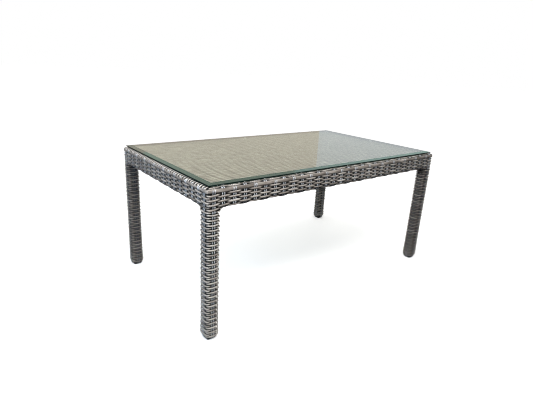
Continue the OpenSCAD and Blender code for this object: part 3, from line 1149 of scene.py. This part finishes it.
def floor_material(colour, glow):
    """A pale floor that glows a little, so that it stays as white as the wall behind it.

    It is dim where it is looked at through the glass, which really bends that line down to the weave.
    """
    material, tree = new_material("pale_floor")
    pale = node(tree, "ShaderNodeBsdfPrincipled", Base_Color=(*colour, 1), Roughness=0.9,
                Emission_Color=(*colour, 1), Emission_Strength=glow)
    black = node(tree, "ShaderNodeEmission", Strength=0)
    faces = tree.nodes.new("ShaderNodeLightPath").outputs["Transparent Depth"]
    dim = maths(tree, "MULTIPLY", faces, GLASS_DIM)
    dim.node.use_clamp = True
    show(tree, mixed_shaders(tree, dim, pale, black))
    return material


def stage_object(name, verts, faces, material):
    mesh = plain_mesh(name, verts, faces)
    mesh.materials.append(material)
    thing = bpy.data.objects.new(name, mesh)
    bpy.context.scene.collection.objects.link(thing)
    return thing


FLOOR = 40.0
pale_floor = floor_material((0.9, 0.9, 0.9), 0.5)
floor = stage_object("floor", rectangle(FLOOR, FLOOR, 0), [(0, 1, 2, 3)], pale_floor)
floor.visible_diffuse = False
floor.visible_glossy = False

BACKDROP_R = 30.0
BACKDROP_H = 15.0


def wall_object(name, azimuths, radius, heights, material, count=24):
    """An upright wall along a circle, between two azimuths from +Y towards +X."""
    verts = []
    for azimuth in np.radians(np.linspace(*azimuths, count + 1)):
        verts += [(radius * math.sin(azimuth), radius * math.cos(azimuth), z) for z in heights]
    faces = [(2 * i, 2 * i + 1, 2 * i + 3, 2 * i + 2) for i in range(count)]
    return stage_object(name, verts, faces, material)


# A white wall all round, far away, that only the camera sees.
backdrop_white = plain_material("backdrop_white", (1, 1, 1), 1.0)
backdrop = wall_object("backdrop", (0, 360), BACKDROP_R, (-1, BACKDROP_H), backdrop_white, count=48)
for kind in ("diffuse", "glossy", "transmission", "shadow"):
    setattr(backdrop, "visible_" + kind, False)

CARD_DISTANCE = 9.0


def reflection_card(name, azimuths, elevations, colour, strength):
    """A card far behind the table, between two azimuths from +Y towards +X, that only reflections show."""
    heights = [TOP_Z + CARD_DISTANCE * math.tan(math.radians(elevation)) for elevation in elevations]
    card = wall_object(name, azimuths, CARD_DISTANCE, heights, plain_material(name, colour, strength))
    card.visible_camera = False
    card.visible_diffuse = False
    card.visible_shadow = False


EDGE_AZIMUTH = 46.3
EDGE_ELEVATION = 19
reflection_card("cream_card", (-40, EDGE_AZIMUTH), (0, EDGE_ELEVATION), (0.95, 0.89, 0.77), 0.69)
reflection_card("sky_card", (EDGE_AZIMUTH, 110), (0, EDGE_ELEVATION), (0.88, 0.94, 0.98), 0.77)
reflection_card("hedge_card", (-40, EDGE_AZIMUTH + 3), (EDGE_ELEVATION, 50), (0.275, 0.335, 0.29), 2.0)
reflection_card("high_sky_card", (EDGE_AZIMUTH + 3, 110), (EDGE_ELEVATION, 50), (0.42, 0.55, 0.52), 1.6)


def area_light(name, place, target, size, power, colour=(1, 1, 1)):
    light = bpy.data.lights.new(name, "AREA")
    light.shape = "DISK"
    light.size = size
    light.energy = power
    light.color = colour
    lamp = bpy.data.objects.new(name, light)
    lamp.location = place
    lamp.rotation_euler = (Vector(target) - Vector(place)).to_track_quat("-Z", "Y").to_euler()
    bpy.context.scene.collection.objects.link(lamp)
    return lamp


area_light("key", (-0.66, -0.86, 1.42), (-0.47, -0.28, 0.25), 0.45, 16.5, (1, 0.975, 0.94))
area_light("side", (-1.55, -0.5, 1.05), (-0.5, -0.25, 0.25), 0.8, 12.5, (0.65, 0.81, 1))
overhead = area_light("overhead", (0, 0, 1.5), (0, 0, TOP_Z), 1.0, 14)
overhead.visible_glossy = False


def sky_world():
    """Soft light that comes from above, and little from below the horizon."""
    world = bpy.data.worlds.new("world")
    world.use_nodes = True
    tree = world.node_tree
    place = tree.nodes.new("ShaderNodeTexCoord").outputs["Generated"]
    split = node(tree, "ShaderNodeSeparateXYZ", Vector=place)
    height = node(tree, "ShaderNodeMapRange", From_Min=-1, Value=split.outputs["Z"])
    background = tree.nodes["Background"]
    feed(tree, background.inputs["Color"], ramp(tree, height.outputs["Result"], SKY_SHADES))
    feed(tree, background.inputs["Strength"], SKY_STRENGTH)
    bpy.context.scene.world = world


SKY_STRENGTH = 1.0

# Sky colours from straight down, 0, over the horizon, 0.5, to straight up, 1.
SKY_SHADES = [
    (0.0, (0.038, 0.040, 0.044)),
    (0.5, (0.045, 0.050, 0.058)),
    (0.6, (0.13, 0.138, 0.152)),
    (0.75, (0.52, 0.53, 0.55)),
    (1.0, (0.95, 0.92, 0.87)),
]
sky_world()

scene = bpy.context.scene
scene.view_settings.view_transform = "Standard"
scene.view_settings.look = "None"
scene.cycles.filter_width = 1.1


def place_camera():
    """From the front left, a little above the table, and turned slightly about its own axis."""
    azimuth, elevation, roll = math.radians(-38.79), math.radians(18.19), math.radians(3.035)
    distance = 1.6677
    target = Vector((-0.0056, 0.0985, 0.225))
    level = math.cos(elevation)
    back = Vector((math.sin(azimuth) * level, -math.cos(azimuth) * level, math.sin(elevation)))
    right = Vector((math.cos(azimuth), math.sin(azimuth), 0))
    up = back.cross(right)
    camera_x = math.cos(roll) * right + math.sin(roll) * up
    camera_y = back.cross(camera_x)
    place = target + back * distance
    matrix = Matrix((camera_x, camera_y, back)).transposed().to_4x4()
    matrix.translation = place
    data = bpy.data.cameras.new("camera")
    data.lens = 27.77
    data.sensor_width = 36
    camera = bpy.data.objects.new("camera", data)
    camera.matrix_world = matrix
    bpy.context.scene.collection.objects.link(camera)
    bpy.context.scene.camera = camera


place_camera()
